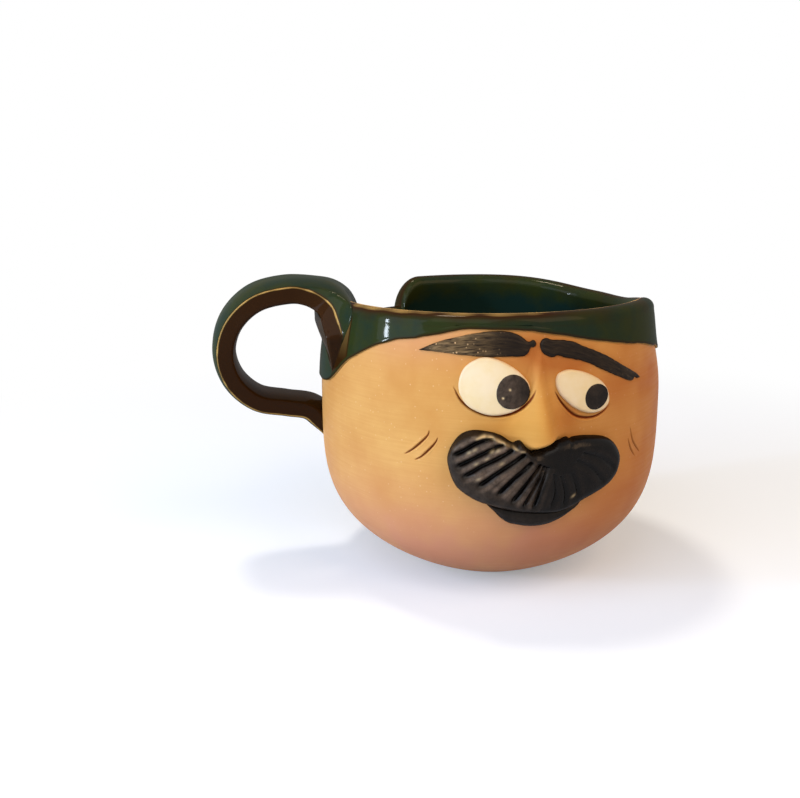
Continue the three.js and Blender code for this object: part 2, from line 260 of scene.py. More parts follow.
# Burnished terracotta: fine earthenware rubbed smooth while leather hard, then fired bare.
# The eye sees a warm buff with soft clouds, faint level lines from the rib, pale grains and a low sheen.
terracotta = {
    "light": "#dcb06a", "deep": "#c89350", "grain": "#f3dfb8",
    # marks painted on the pieces, in the order they lie over each other: tints, partly painted shade and
    # bounce light, and painted shade in the cuts
    "marks": {"ochre": "#c8943f", "roseLight": "#cf9079", "smudgeAndShade": "#a55c28", "cutShade": "#6e2f0f"},
    "cloudSize": 14, "lineLength": 16, "lineHeight": 0.4, "lineShare": 0.45,
    "grainSpacing": 1.5, "grainSize": 0.19, "grainShare": 0.34, "roughness": (0.44, 0.62), "sheen": 0.1,
    "bump": 0.05,
}


def makeTerracotta():
    spec = terracotta
    material, tree, spot, marks = startMaterial("burnishedTerracotta", *spec["marks"])
    clouds = addNode(tree, "TexNoise", {
        "Vector": spot, "Scale": 1000 / spec["cloudSize"], "Detail": 5, "Roughness": 0.55})
    stretched = addNode(tree, "Mapping", {
        "Vector": spot, "Scale": (1000 / spec["lineLength"],) * 2 + (1000 / spec["lineHeight"],)})
    lines = addNode(tree, "TexNoise", {"Vector": stretched, "Scale": 1, "Detail": 3, "Roughness": 0.6})
    grains = addNode(tree, "TexVoronoi", {"Vector": spot, "Scale": 1000 / spec["grainSpacing"]})
    grain = spec["grainSize"] / spec["grainSpacing"]
    layers = [(addNode(tree, "MapRange", (clouds, 0.3, 0.7)), spec["deep"]),
              (addNode(tree, "MapRange", (lines, 0.3, 0.75, 0, spec["lineShare"])), spec["deep"]),
              (addNode(tree, "MapRange", (grains, grain, 0.4 * grain, 0, spec["grainShare"])), spec["grain"])]
    layers += [(marks[key], tone) for key, tone in spec["marks"].items()]
    rough = addNode(tree, "MapRange", (lines, 0.2, 0.8, *spec["roughness"]))
    endMaterial(tree, spec["light"], layers, (lines, 0.35, spec["bump"]), rough, spec["sheen"])
    return material


# Copper-green glaze: a lead-like gloss coat, dipped and fired until it flowed.
# The eye sees bottle green where it pools, olive on slopes and golden brown where it pulls thin at edges;
# along the lip's crest and the handle's arrises the gold is also a painted highlight.
glaze = {
    "pool": "#152a27", "slope": "#283117", "brown": "#2e1b09", "goldAndHighlight": "#cbab66",
    "mottleSize": 8, "waveSize": 4.5, "roughness": 0.5, "wave": 0.05, "skin": (0.1, 0.06),
}


def makeGlaze():
    spec = glaze
    material, tree, spot, marks = startMaterial("copperGreenGlaze", "pooled", "thinAndLit")
    mottle = addNode(tree, "TexNoise", {
        "Vector": spot, "Scale": 1000 / spec["mottleSize"], "Detail": 4, "Roughness": 0.6})
    waves = addNode(tree, "TexNoise", {"Vector": spot, "Scale": 1000 / spec["waveSize"], "Detail": 2})
    clearer = addNode(tree, "MapRange", (mottle, 0.35, 0.68, 0.6, -0.3))
    pooled = addNode(tree, "Math", (marks["pooled"], clearer), operation="ADD", use_clamp=True)
    layers = [(pooled, spec["pool"]), (addNode(tree, "MapRange", (marks["thinAndLit"], 0.1, 0.55)), spec["brown"]),
              (addNode(tree, "MapRange", (marks["thinAndLit"], 0.6, 1.0)), spec["goldAndHighlight"])]
    endMaterial(tree, spec["slope"], layers, (waves, 0.4, spec["wave"]), spec["roughness"], skin=spec["skin"])
    return material


# White ball clay, pressed into pads and wiped with a damp sponge: creamy, matt, with warm stains at the rim
whiteClay = {
    "white": "#eadec0", "cream": "#e2cf94", "stain": "#c08448", "patchSize": 5,
    "roughness": 0.5, "sheen": 0.35, "bump": 0.1,
}


def makeWhiteClay():
    spec = whiteClay
    material, tree, spot, marks = startMaterial("spongedWhiteClay", "stain")
    patches = addNode(tree, "TexNoise", {
        "Vector": spot, "Scale": 1000 / spec["patchSize"], "Detail": 5, "Roughness": 0.6})
    creamy = addNode(tree, "MapRange", (patches, 0.4, 0.75, 0, 0.7))
    layers = [(creamy, spec["cream"]), (marks["stain"], spec["stain"])]
    relief = (patches, 0.15, spec["bump"])
    endMaterial(tree, spec["white"], layers, relief, spec["roughness"], spec["sheen"])
    return material


# Black stained clay, modelled and smoothed wet: satin black, brown on the worn crests and pale where chipped;
# the brown is also painted light, lighter where the light falls on the left, and the pale also paints glints
blackClay = {
    "black": "#050404", "wornAndLit": "#7a6b5f", "chipAndGlint": "#d6c49c", "patchSize": 1.8,
    "roughness": (0.12, 0.32), "bump": 0.14, "skin": (0.24, 0.22),
}


def makeBlackClay():
    spec = blackClay
    material, tree, spot, marks = startMaterial("smoothedBlackClay", "wornAndLit", "chipAndGlint")
    patches = addNode(tree, "TexNoise", {
        "Vector": spot, "Scale": 1000 / spec["patchSize"], "Detail": 6, "Roughness": 0.65})
    patchy = addNode(tree, "MapRange", (patches, 0.34, 0.66, 0.25, 0.75))
    wornAndLit = addNode(tree, "Math", (marks["wornAndLit"], patchy), operation="MULTIPLY", use_clamp=True)
    layers = [(wornAndLit, spec["wornAndLit"]), (marks["chipAndGlint"], spec["chipAndGlint"])]
    rough = addNode(tree, "MapRange", (patches, 0.3, 0.7, *spec["roughness"]))
    endMaterial(tree, spec["black"], layers, (patches, 0.5, spec["bump"]), rough, skin=spec["skin"])
    return material


# Black slip, laid on with a loaded brush: nearly black, streaked along the stroke, with pinholes where dry;
# toward the outer tip of the left brow the streaks are also painted lighter as sheen
blackSlip = {
    "black": "#120c0a", "streak": "#7c684a", "pinhole": "#d0b083", "streakLength": 2.6, "streakWidth": 0.35,
    "holeSpacing": 0.9, "roughness": (0.32, 0.54), "bump": 0.12, "skin": (0.24, 0.42),
}


def makeBlackSlip():
    spec = blackSlip
    material, tree, spot, marks = startMaterial("brushedBlackSlip", "along", "across", "dryAndLit")
    drawn = addNode(tree, "CombineXYZ", (marks["along"], marks["across"]))
    stretched = addNode(tree, "Mapping", {
        "Vector": drawn, "Scale": (1 / spec["streakLength"], 1 / spec["streakWidth"], 1)})
    streaks = addNode(tree, "TexNoise", {"Vector": stretched, "Scale": 1, "Detail": 4, "Roughness": 0.6})
    streaked = addNode(tree, "MapRange", (streaks, 0.32, 0.75))
    drawnThin = addNode(tree, "MapRange", (marks["dryAndLit"], 0, 1, 0.08, 1.35))
    streaked = addNode(tree, "Math", (streaked, drawnThin), operation="MULTIPLY", use_clamp=True)
    holes = addNode(tree, "TexVoronoi", {"Vector": spot, "Scale": 1000 / spec["holeSpacing"]})
    holes = addNode(tree, "MapRange", (holes, 0.21, 0.12))
    holes = addNode(tree, "Math", (holes, marks["dryAndLit"]), operation="MULTIPLY")
    layers = [(streaked, spec["streak"]), (holes, spec["pinhole"])]
    rough = addNode(tree, "MapRange", (streaks, 0.3, 0.7, *spec["roughness"]))
    endMaterial(tree, spec["black"], layers, (streaks, 0.5, spec["bump"]), rough, skin=spec["skin"])
    return material


looks = {
    "terracotta": makeTerracotta(), "green_glaze": makeGlaze(), "white_clay": makeWhiteClay(),
    "black_clay": makeBlackClay(), "black_slip": makeBlackSlip(),
}
print("materials made")


# Cup body: turned bowl, with the lid lines and cheek creases cut in while it was soft
# lid lines and cheek creases: depth and width of each cut, and how dark the painted shade in it is
cuts = {
    "lids": {"depth": 0.6, "width": 0.25, "dark": 1, "lines": [
        [(-17.1, 48.7), (-15.7, 46.1), (-14.3, 44.8), (-12.7, 43.9), (-11.1, 43.3), (-9.3, 43),
         (-7.6, 43), (-5.9, 43.35), (-4.4, 44), (-3.1, 45.1), (-2, 46.5), (-1.1, 48.4)],
        [(3, 47.6), (4.4, 45.3), (6.6, 43), (8.2, 42), (10.3, 41.5), (12.2, 41.5), (13.7, 41.9),
         (15.2, 42.7), (16.2, 43.6)]]},
    "leftCreases": {"depth": 0.5, "width": 0.2, "dark": 0.9, "lines": [
        [(-21.8, 39.5), (-22.1, 38.4), (-23.8, 36.5), (-25.1, 35.3), (-26.3, 34.4), (-27.5, 33.7)],
        [(-20, 38.1), (-20.4, 37.2), (-21.3, 36), (-23.7, 33.6), (-24.4, 33.2), (-25.1, 32.8)]]},
    "rightCreases": {"depth": 0.4, "width": 0.16, "dark": 0.6, "lines": [
        [(22.4, 35.3), (23.1, 33.7), (24, 32.3), (25.7, 30.5)],
        [(23, 37.5), (23.4, 36.3), (24.1, 34.6), (25.2, 33.2), (27.7, 30.9)]]},
}


# height of the cuts, and the shade painted into them
def cutLines(across, up):  # height and darkness that the cuts give the clay
    offset, shade = np.zeros(across.shape), np.zeros(across.shape)
    for spec, line in ((spec, line) for spec in cuts.values() for line in spec["lines"]):
        gap, along = nearLine(across, up, smoothLine(line, 25))
        taper = np.sin(math.pi * along).clip(0) ** 0.6
        width = spec["width"] * (0.3 + 0.7 * taper)
        inCut = np.clip(1 - gap / (1.5 * width), 0, 1)
        offset -= spec["depth"] * taper * inCut ** 0.8
        offset += 0.06 * taper * hump(gap, 2.4 * width, 0.8 * width)  # the burr beside the cut
        # painted shade in the bottom of each cut
        shade = np.maximum(shade, spec["dark"] * ramp(taper, 0, 0.5) * ramp(inCut, 0.05, 0.6))
    return offset, shade


# Marks on the clay, as across, up, width, height and share: darker patches, partly slip wiped round the brows
# and partly painted shade beside the nose, down the right side and toward the foot; a rosy tint, painted
# bounce light round the foot, with a rosy patch high on the left; and an ochre tint round the nose
clayTints = {
    "smudgeAndShade": [
        (-56, 44, 20, 40, 0.35), (0, 55.5, 5, 4.5, 0.68), (6.5, 53, 6, 3, 0.65), (17, 46, 5, 6, 0.3),
        (-6, 55, 9, 2.5, 0.25), (6, 41.5, 4, 5, 0.5), (-9, 40.5, 4, 3, 0.2), (33, 42, 22, 22, 0.7),
        (18, 18, 15, 9, 0.4), (8, 8, 18, 7, 0.2), (-5, 3, 60, 9, 0.42), (38, 18, 16, 14, 0.3)],
    "roseLight": [(-30, 12, 45, 13, 0.7), (20, 11, 34, 12, 0.5), (-25, 58, 16, 5, 0.35)],
    "ochre": [(-2, 41.5, 5.5, 7, 0.7), (-9, 40.5, 5, 3, 0.5), (7, 42, 5, 4, 0.3)],
}


def tintedClay(across, up):
    uneven = 1 + 0.22 * cloud(across, up, 8, 81) + 0.12 * cloud(across, up, 3, 82)
    paint = {}
    for kind, marks in clayTints.items():
        share = sum(most * hump(across, u, wide) * hump(up, v, tall) for u, v, wide, tall, most in marks)
        paint[kind] = (share * uneven).clip(0, 0.8)  # the clay shows through at its darkest
    return paint


body = {
    # from, to and step of the columns in degrees and of the levels in mm, fine where the face is
    "columns": [(-48, 48, 0.14), (48, 195, 1.5), (195, 213, 0.5), (213, 312, 1.5)],
    "levels": [(0.6, 18, 0.6), (18, 29.5, 0.35), (29.5, 49.5, 0.13), (49.5, 60.2, 0.3)],
    "footHollow": 0.25, "footHollowRadius": 14, "footEdge": [(14.1, 0.02), (14.55, 0.14), (15.1, 0.36)],
    "sway": 0.09, "swayRadius": 40, "cutAcross": 34, "cutFrom": 26, "cutTo": 54,
}


def makeBody():
    columns, levels = steps(body["columns"]), steps(body["levels"])
    rows = []  # radius, height, hide (1 where the glaze covers it)
    for radius in np.arange(1, body["footHollowRadius"], 1.0):
        rows.append((radius, body["footHollow"] * (1 - (radius / body["footHollowRadius"]) ** 8), 0))
    rows += [(radius, z, 0) for radius, z in body["footEdge"]]
    rows += [(float(outerRadius(z)), z, 0) for z in levels]
    for turn in np.linspace(0, math.pi, 9):
        rows.append((lipMiddle + lipRadius * math.cos(turn), lipHeight + lipRadius * math.sin(turn), 1))
    for z in map(insideHeight, np.linspace(0.06, 1, 22)):
        rows.append((float(innerRadius(z)), z, 1))
    radius, height, hidden = (np.array(values)[:, None] for values in zip(*rows))
    angle = np.broadcast_to(columns, (len(rows), len(columns)))
    up = np.broadcast_to(height, angle.shape)
    across = np.radians(fromFace(angle)) * bellyRadius
    outer = np.broadcast_to((hidden == 0) & (height > 0.5), angle.shape)
    # unevenness of the turning, always inward so that the belly keeps its size
    sway = (cloud(body["swayRadius"] * np.sin(np.radians(angle)), up, 17, 3)
            + cloud(body["swayRadius"] * np.cos(np.radians(angle)), up, 23, 4))
    offset = np.where(outer, -body["sway"] * (1 + sway / 2), 0.0)
    shade = np.zeros(angle.shape)
    zone = outer & (np.abs(across) < body["cutAcross"]) & (up > body["cutFrom"]) & (up < body["cutTo"])
    cutDepth, shade[zone] = cutLines(across[zone], up[zone])
    offset[zone] += cutDepth
    outR, outZ = wallSlope(np.maximum(height, 0.1))
    points = pinched(angle, radius + offset * outR, up + offset * outZ)
    makePiece("cup_body", points, "terracotta", {"cutShade": shade, **tintedClay(across, up)})


# Glaze coat: over the inside, across the lip and down to the dipped edge, beaded where it stopped
dip = {
    # the dipped edge round the cup, as degrees from the face and height
    "edge": [
        (-195, 44.5), (-150, 43.4), (-100, 43), (-78, 44.9), (-66.5, 50.5), (-58, 53.6), (-50.8, 55.7),
        (-38, 57.6), (-20, 59.5), (-3, 59.1), (10.4, 57.6), (30, 55.4), (47, 53.4), (60, 51.6),
        (90, 47.9), (120, 45.5), (165, 44.5)],
    "columns": [(0, 195, 0.5), (195, 213, 0.15), (213, 360, 0.5)],
    "thickness": 0.4, "bead": 0.05, "edgeWave": 0.2, "bed": 0.25,
    # where the lip breaks to gold, also a painted highlight along the crest, as degrees over the lip and
    # spread, and how thin the glaze is there
    "crest": (102, 14), "crestThin": 0.68, "shoulder": (68, 32), "shoulderThin": 0.58, "lipThin": 0.12,
    # the seam beside the root of the handle, drawn thin: height, left end in degrees, and height, thinness
    "seam": [
        (44, -77), (47.7, -74.4), (50.5, -72.1), (53.2, -70.3), (54.9, -69), (57.3, -67.5), (59.9, -65.8)],
    "seamThin": [(46, 0.56), (54, 0.63), (60.3, 0.68)], "seamRight": (-66.6, -65.2), "seamTop": (60, 60.6),
    "beadSteps": (0.8, 0.62, 0.46, 0.32, 0.2, 0.11, 0.04, 0), "beadRadius": 0.45,
    "edgeThin": 0.9, "edgeFade": 0.4,
}


def roundCup(angle, size, seed):  # random lumps in a ring round the cup
    turn = np.radians(angle)
    return cloud(bellyRadius * np.sin(turn), bellyRadius * np.cos(turn), size, seed)


def glazeEdge(angle):
    line, start = smoothLine(dip["edge"], 400), dip["edge"][0][0]
    edge = np.interp((angle - start) % 360 + start, *line.T)
    return edge + dip["edgeWave"] * (roundCup(angle, 5, 11) + 0.45 * roundCup(angle, 1.6, 12))


def makeCoat():
    angle = steps(dip["columns"])
    edge, lumps, turned = glazeEdge(angle), roundCup(angle, 4, 15), fromFace(angle)
    seam, seamThin = np.array(dip["seam"]).T, np.array(dip["seamThin"]).T
    front = 0.45 + 0.55 * ramp(np.cos(np.radians(angle)), -0.2, 0.5)
    golden = front * (1 - 0.8 * ramp(turned, -8, 26))  # the lip breaks widest at the front left
    rings, thinAndLit, under, pooled, step = [], [], [], [], 0.005

    def addRing(radius, z, outR, outZ, thickness, thinness, pool=0.0):
        rings.append(pinched(angle, radius + thickness * outR, z + thickness * outZ))
        under.append(pinched(angle, radius - dip["bed"] * outR, z - dip["bed"] * outZ))
        thinAndLit.append(np.broadcast_to(thinness, angle.shape))
        pooled.append(np.full(angle.shape, pool))

    for z in map(insideHeight, np.linspace(1, 0.02, 46)):  # up the inside
        slope = float(innerRadius(z + step) - innerRadius(z - step)) / (2 * step)
        length = math.hypot(1, slope)
        near = max(0.0, 1 - (lipHeight - z) / 5)
        addRing(float(innerRadius(z)), z, -1 / length, slope / length, dip["thickness"], 0.2 * near ** 2,
                float(ramp(lipHeight - z, 0, 6)))
    for turn in np.linspace(math.pi, 0, 17):  # across the lip
        outR, outZ = math.cos(turn), math.sin(turn)
        crest, shoulder = (float(hump(math.degrees(turn), *dip[key])) for key in ("crest", "shoulder"))
        broken = dip["crestThin"] * crest * front + dip["shoulderThin"] * shoulder * golden
        addRing(lipMiddle + lipRadius * outR, lipHeight + lipRadius * outZ, outR, outZ, dip["thickness"],
                dip["lipThin"] + broken + 0.1 * lumps)
    for share in np.linspace(0.06, 1, 15):  # down the outside
        z = lipHeight + (edge + 1 - lipHeight) * share
        fallen = lipHeight - z
        brown = 0.16 * np.clip(1 - fallen / 2, 0, 1) * front + 0.06 * lumps * share
        seamLeft = np.interp(z, *seam)
        inSeam = ramp(turned, seamLeft - 1.2, seamLeft - 0.2) * (1 - ramp(turned, *dip["seamRight"]))
        inSeam = inSeam * (1 - ramp(z, *dip["seamTop"]))
        brown = np.maximum(brown, np.interp(z, *seamThin) * inSeam)
        addRing(outerRadius(z), z, 1, 0, dip["thickness"] + 0.5 * dip["bead"] * share ** 4, brown)
    for left in dip["beadSteps"]:  # the beaded edge
        z = edge + left
        rise = math.sqrt(1 - (1 - min(left / dip["beadRadius"], 1)) ** 2)
        addRing(outerRadius(z), z, 1, 0, (dip["thickness"] + dip["bead"]) * rise,
                dip["edgeThin"] * math.exp(-left / dip["edgeFade"]))
    points = np.array(rings + under[::-1][1::3])
    hidden = [thinAndLit[0] * 0] * (len(points) - len(rings))
    paint = {"thinAndLit": np.clip(thinAndLit + hidden, 0, 1), "pooled": np.array(pooled + hidden)}
    makePiece("green_glaze", points, "green_glaze", paint)


# Handle: a pulled strap bent to a ring, flat inside and crowned outside. Its root is pressed over the lip,
# with a web drawn down on the wall and a tail that runs out below it.
handle = {
    "angle": -92, "height": 49.3, "hole": 22, "stand": 7.5, "width": 15, "tailWidth": 11,
    "outer": 3.1, "inner": 2.24, "arris": 1.95, "sideFace": 3.3, "rootDepth": 3, "skew": 8,
    "wrap": 32, "pooled": 0.15,
    # course up in the lip and over it, as distance from the cup's axis and height, and of the tail, as the
    # step from the belly and the share of the ring's radius below its middle
    "start": [(36, 46.5), (34.6, 51.5), (33.6, 56), (34.5, 60.2), (36.3, 61.7), (38.5, 62.25)],
    "end": [(2.5, 1.1), (-0.8, 1.4), (-2.8, 1.8)],
    # near side of the root from its foot up to the ring, as distance from the axis, side step and height:
    # the arris, and the line where the web leaves the wall
    "rootArris": [
        (36, 10, 45), (35.8, 11.5, 47.7), (35.2, 12.9, 50.5), (34.6, 13.9, 53.2), (34.5, 14.4, 54.8),
        (35.3, 12.5, 58), (36.2, 10.8, 60.7), (37.8, 9.2, 62.3), (40.6, 8, 63.8), (44.4, 7.5, 64.5)],
    "rootWeb": [
        (35.3, 9.6, 45.3), (35.1, 11.1, 48), (34.5, 12.5, 50.8), (33.9, 13.6, 53.5), (33.8, 14.6, 55.4),
        (32.8, 15.9, 58.4), (32.4, 15.6, 60.8), (33.6, 12, 62.4), (38, 8.2, 64.2), (44.4, 7, 64.8)],
}


def makeHandle():
    spec = handle
    ringRadius = spec["hole"] / 2 + spec["inner"]
    ringMiddle = bellyRadius + spec["stand"]
    path = list(spec["start"])
    for bend in np.radians(range(90, -91, -30)):
        path.append((ringMiddle + ringRadius * math.cos(bend), spec["height"] + ringRadius * math.sin(bend)))
    path += [(bellyRadius + step, spec["height"] - ringRadius * below) for step, below in spec["end"]]
    skewed = [(r, -spec["skew"] * float(ramp(i, 6, len(path) - 3)), z) for i, (r, z) in enumerate(path)]
    stations = 260
    line = smoothLine(skewed, stations)
    along = np.linspace(0, 1, stations)
    tangent = np.gradient(line, axis=0)
    tangent /= np.linalg.norm(tangent, axis=1)[:, None]
    outward = np.cross(tangent, (0, 1, 0))
    side = np.array((0, 1, 0))
    tail = 1 - 0.75 * ramp(along, 0.89, 1)  # pressed flat on the wall
    full = (0.4 + 0.6 * ramp(along, 0.03, 0.1)) * tail  # the tongue in the lip thins out
    strap = (spec["width"] + (spec["tailWidth"] - spec["width"]) * ramp(along, 0.38, 0.9)) / 2
    # near arris and web, first of the plain strap and then with the root drawn in
    plain = line + (spec["arris"] * tail)[:, None] * outward + strap[:, None] * side
    web = line + 0.93 * strap[:, None] * side + ((spec["arris"] + 0.25) * tail)[:, None] * outward
    count = int(np.argmax(line[:, 0] > spec["rootArris"][-1][0]))
    root = (1 - ramp(np.arange(stations), count - 10, count))[:, None]
    rootArris, rootWeb = (np.pad(smoothLine(spec[key], count), ((0, stations - count), (0, 0)), mode="edge")
                          for key in ("rootArris", "rootWeb"))
    arris = plain + root * (rootArris - plain)
    web = web + root * (rootWeb - web)
    half = arris[:, 1] - line[:, 1]
    fall = np.maximum(plain[:, 2] - arris[:, 2], 0)
    run = np.gradient(arris, axis=0)
    run[:, 1] = 0
    soft = np.hanning(31) / np.hanning(31).sum()
    run = np.stack([np.convolve(np.pad(run[:, k], 15, mode="edge"), soft, "valid") for k in range(3)], axis=1)
    run /= np.linalg.norm(run, axis=1)[:, None]
    thickness = spec["sideFace"] * (0.1 + 0.9 * ramp(np.arange(stations) / count, 0, 0.42)) * tail
    low = arris + thickness[:, None] * np.stack([run[:, 2], 0 * along, -run[:, 0]], axis=1)
    farT, nearT = np.linspace(-1, 0, 21), np.linspace(0, 1, 21)[1:]
    back = np.linspace(1, -1, 31)[1:-1]
    flank, toEdge = np.linspace(0, 1, 11)[1:], np.linspace(0, 1, 7)[1:]
    pressed = ramp(along, 0.8, 0.93)  # the tail bends round the wall
    turn = math.radians(spec["angle"] - 90)
    cos, sin = math.cos(turn), math.sin(turn)
    rings, thinAndLit = [], []
    for s in range(stations):
        top = line[s] + full[s] * spec["outer"] * outward[s]
        drop = (spec["outer"] - spec["arris"]) * 0.5 * ((-farT - 0.5) / 0.5).clip(0) ** 2
        lift = full[s] * (spec["outer"] - drop)
        farSide = line[s] + farT[:, None] * half[s] * side + lift[:, None] * outward[s]
        farSide[:, 2] -= 0.4 * fall[s] * np.abs(farT) ** 2.2
        wrap = 1 - ramp(line[s, 0], 35.5, 40)
        farSide[:, 0] -= wrap * (spec["wrap"] - np.sqrt(spec["wrap"] ** 2 - (farT * half[s]) ** 2))
        nearSide = top + (web[s] - top) * np.stack([nearT ** 2.2, nearT, nearT ** 2.2], axis=1)
        edge = web[s] + toEdge[:, None] * (arris[s] - web[s])
        face = arris[s] + flank[:, None] * (low[s] - arris[s])
        depth = full[s] * (spec["inner"] + spec["rootDepth"] * (1 - ramp(along[s], 0.12, 0.28)))
        hollow = line[s] - depth * outward[s]
        inner = np.array((low[s, 0], line[s, 1], low[s, 2]))
        belly = back[:, None] * half[s] * side + hollow + (inner - hollow) * (np.abs(back) ** 3)[:, None]
        farFace = belly[-1] + (1 - flank[::-1, None]) * (farSide[0] - belly[-1])
        ring = np.vstack([farSide, nearSide, edge, face, belly, farFace])
        # arrises slightly soft
        ring = ring * 0.6 + (np.roll(ring, 1, axis=0) + np.roll(ring, -1, axis=0)) * 0.2
        ring[:, 0] -= pressed[s] * (bellyRadius - np.sqrt(bellyRadius ** 2 - ring[:, 1] ** 2))
        x, y, z = ring.T
        rings.append(np.stack([x * cos - y * sin, x * sin + y * cos, z], axis=1))
        # gold along the arrises, thin glaze painted bright as a highlight; brown on the side faces
        goldAndHighlight = (0.86 + 0.14 * float(cloud(along[s] * 130, 3, 2.2, 71))) * float(ramp(s / count, 0.3, 0.45))
        farEdge = goldAndHighlight * hump((1 + farT) * half[s], 0, 0.36)
        toArris = goldAndHighlight * hump((1 - toEdge) * np.linalg.norm(arris[s] - web[s]), 0, 0.36)
        faces = np.r_[max(0.6 * goldAndHighlight, 0.5), np.full(len(flank) - 1, 0.58)]
        thinAndLit.append(np.r_[farEdge, 0 * nearT, toArris, faces, np.full(len(back), 0.5), faces[::-1]])
    paint = {"thinAndLit": thinAndLit, "pooled": np.full(np.shape(thinAndLit), spec["pooled"])}
    makePiece("handle", rings, "green_glaze", paint)


# Pads and other pieces pressed on the wall

def pressedRings(outline, middle, around, rows):
    # rings from the middle to the edge, as across, up, share of the way and distance to the edge
    edge = smoothLine(outline, around, closed=True)
    shares = 1 - np.linspace(1, 0, rows) ** 1.6  # closer together towards the edge
    shares[0] = 0.012
    across = middle[0] + (edge[:, 0] - middle[0]) * shares[:, None]
    up = middle[1] + (edge[:, 1] - middle[1]) * shares[:, None]
    inside, _ = nearLine(across, up, np.vstack([edge, edge[:1]]))
    return across, up, np.broadcast_to(shares[:, None], across.shape), inside


def rounded(inside, radius):  # 0 at the edge, 1 once a radius inside it
    return np.sqrt(1 - np.clip(1 - inside / radius, 0, 1) ** 2)


def pressOn(name, across, up, height, slotName, paint, edgePaint=0):
    # the shaped top, a side and a bed sunk in the wall, where the paint of the edge runs on or stops
    sink, rows = 0.6, len(across)
    hidden = [onWall(across[-1], up[-1], height[-1] * (1 - t) - sink * t) for t in (0.35, 0.7, 1)]
    hidden += [onWall(across[k], up[k], -sink) for k in (rows * 2 // 3, rows // 3, 1)]
    points = np.concatenate([onWall(across, up, height), np.array(hidden)])
    for key, values in paint.items():
        paint[key] = np.vstack([values] + [values[-1:] * edgePaint] * len(hidden))
    makePiece(name, points, slotName, paint)


eyes = {
    "thickness": 0.8, "edgeRadius": 0.5, "crown": 0.2, "stain": 0.3, "stainWidth": 0.5,
    "left": [
        (-16, 48.4), (-15.1, 52.1), (-12.6, 54), (-10.3, 54.4), (-7, 53.4), (-3.9, 51.3), (-2.1, 48.8),
        (-2.4, 46.7), (-4.2, 44.5), (-6.7, 43.45), (-9.6, 43.15), (-12.2, 43.85), (-14.5, 45.3)],
    "right": [
        (3.2, 49), (3.6, 50.7), (5.5, 51.5), (8.1, 51.2), (11.3, 50), (13.9, 48.3), (15.3, 46.3),
        (15.5, 44.2), (14.2, 42.9), (11.8, 42.4), (9.3, 42.9), (7.3, 43.9), (5.3, 45.5), (3.9, 47.1)],
}


def makeEye(side):
    across, up, share, inside = pressedRings(eyes[side], np.mean(eyes[side], axis=0), 180, 34)
    height = eyes["thickness"] - eyes["edgeRadius"] * (1 - rounded(inside, eyes["edgeRadius"]))
    height = height + eyes["crown"] * (1 - share ** 2) - eyes["crown"]
    stain = eyes["stain"] * np.exp(-inside / eyes["stainWidth"])
    pressOn("eye_white_" + side, across, up, height, "white_clay", {"stain": stain}, edgePaint=1)


# Pupils: middle and half sizes, how far the black is rubbed browner, with painted light on its left side, and
# chips that show pale clay
pupils = {
    "left": {"middle": (-5.5, 47.8), "half": (3.25, 3.35), "wear": 0.56,
             "chips": [(-6.1, 48.3), (-7.4, 46.7)]},
    "right": {"middle": (12, 45.7), "half": (2.85, 2.55), "wear": 0.16, "chips": []},
    "seat": 0.6, "thickness": 0.5, "edgeRadius": 0.3, "crown": 0.2, "chipSize": 0.2, "chipDepth": 0.1,
}


def makePupil(side):
    spec = pupils[side]
    turn = np.linspace(0, 2 * math.pi, 12, endpoint=False)
    wobble = 1 + 0.02 * np.cos(3 * turn + spec["middle"][0]) + 0.015 * np.sin(2 * turn)
    outline = np.array(spec["middle"]) + (wobble * np.stack([np.cos(turn), np.sin(turn)])).T * spec["half"]
    across, up, share, inside = pressedRings(outline, spec["middle"], 120, 34)
    height = pupils["seat"] + (pupils["thickness"] - pupils["crown"] * share ** 2)
    height = height - pupils["edgeRadius"] * (1 - rounded(inside, pupils["edgeRadius"]))
    chipAndGlint = np.zeros(across.shape)
    for u, v in spec["chips"]:
        chipAndGlint = np.maximum(chipAndGlint, hump(np.hypot(across - u, up - v), 0, pupils["chipSize"]))
    wornAndLit = spec["wear"] * (1 - 0.6 * ramp(across - spec["middle"][0], -1, 3))  # rubbed browner, and painted lighter on the left side where the light falls
    height = height - pupils["chipDepth"] * chipAndGlint
    pressOn("pupil_" + side, across, up, height, "black_clay", {"wornAndLit": wornAndLit, "chipAndGlint": chipAndGlint})


# Brows: one stroke of slip each, between a lower and an upper edge drawn from the outer tip inward
brows = {
    "thickness": 0.45, "edgeRadius": 0.7, "bed": 0.45,
    "left": {
        "low": [
            (-24.5, 55.1), (-19.4, 55), (-16.8, 54.8), (-12.1, 54.5), (-6, 54.5), (-3.2, 54.6),
            (-2.3, 55.2), (-1.95, 56), (-1.6, 56.25), (-1.2, 56.15), (-0.9, 56.4), (-0.65, 56.85)],
        "high": [
            (-24.5, 55.2), (-21.3, 56.7), (-16.9, 58), (-12.4, 59), (-9.6, 59.3), (-7, 59.3),
            (-4.9, 58.9), (-3.3, 58), (-2.5, 57.4), (-1.9, 57.3), (-1.5, 57.5), (-1.1, 57.5),
            (-0.85, 57.3), (-0.65, 56.9)],
        "dryness": 1.0, "seed": 51},
    "right": {
        "low": [
            (25.8, 47.3), (24.7, 47.5), (24, 47.8), (23.1, 47.2), (20.4, 48), (14.9, 50.4), (9.6, 52.8),
            (5.5, 53.9), (3.7, 54.4), (3, 54.2), (2.1, 54.2), (1, 54.7), (0.3, 55.5), (0.1, 56.5)],
        "high": [
            (25.8, 47.6), (24.8, 48.4), (20.5, 50.6), (15.1, 53.5), (12.2, 54.8), (9.8, 55.7),
            (7.4, 56.8), (4, 57.4), (2.5, 57.5), (1.4, 57.8), (0.6, 57.6), (0.1, 56.9)],
        "dryness": 0.06, "seed": 61},
}


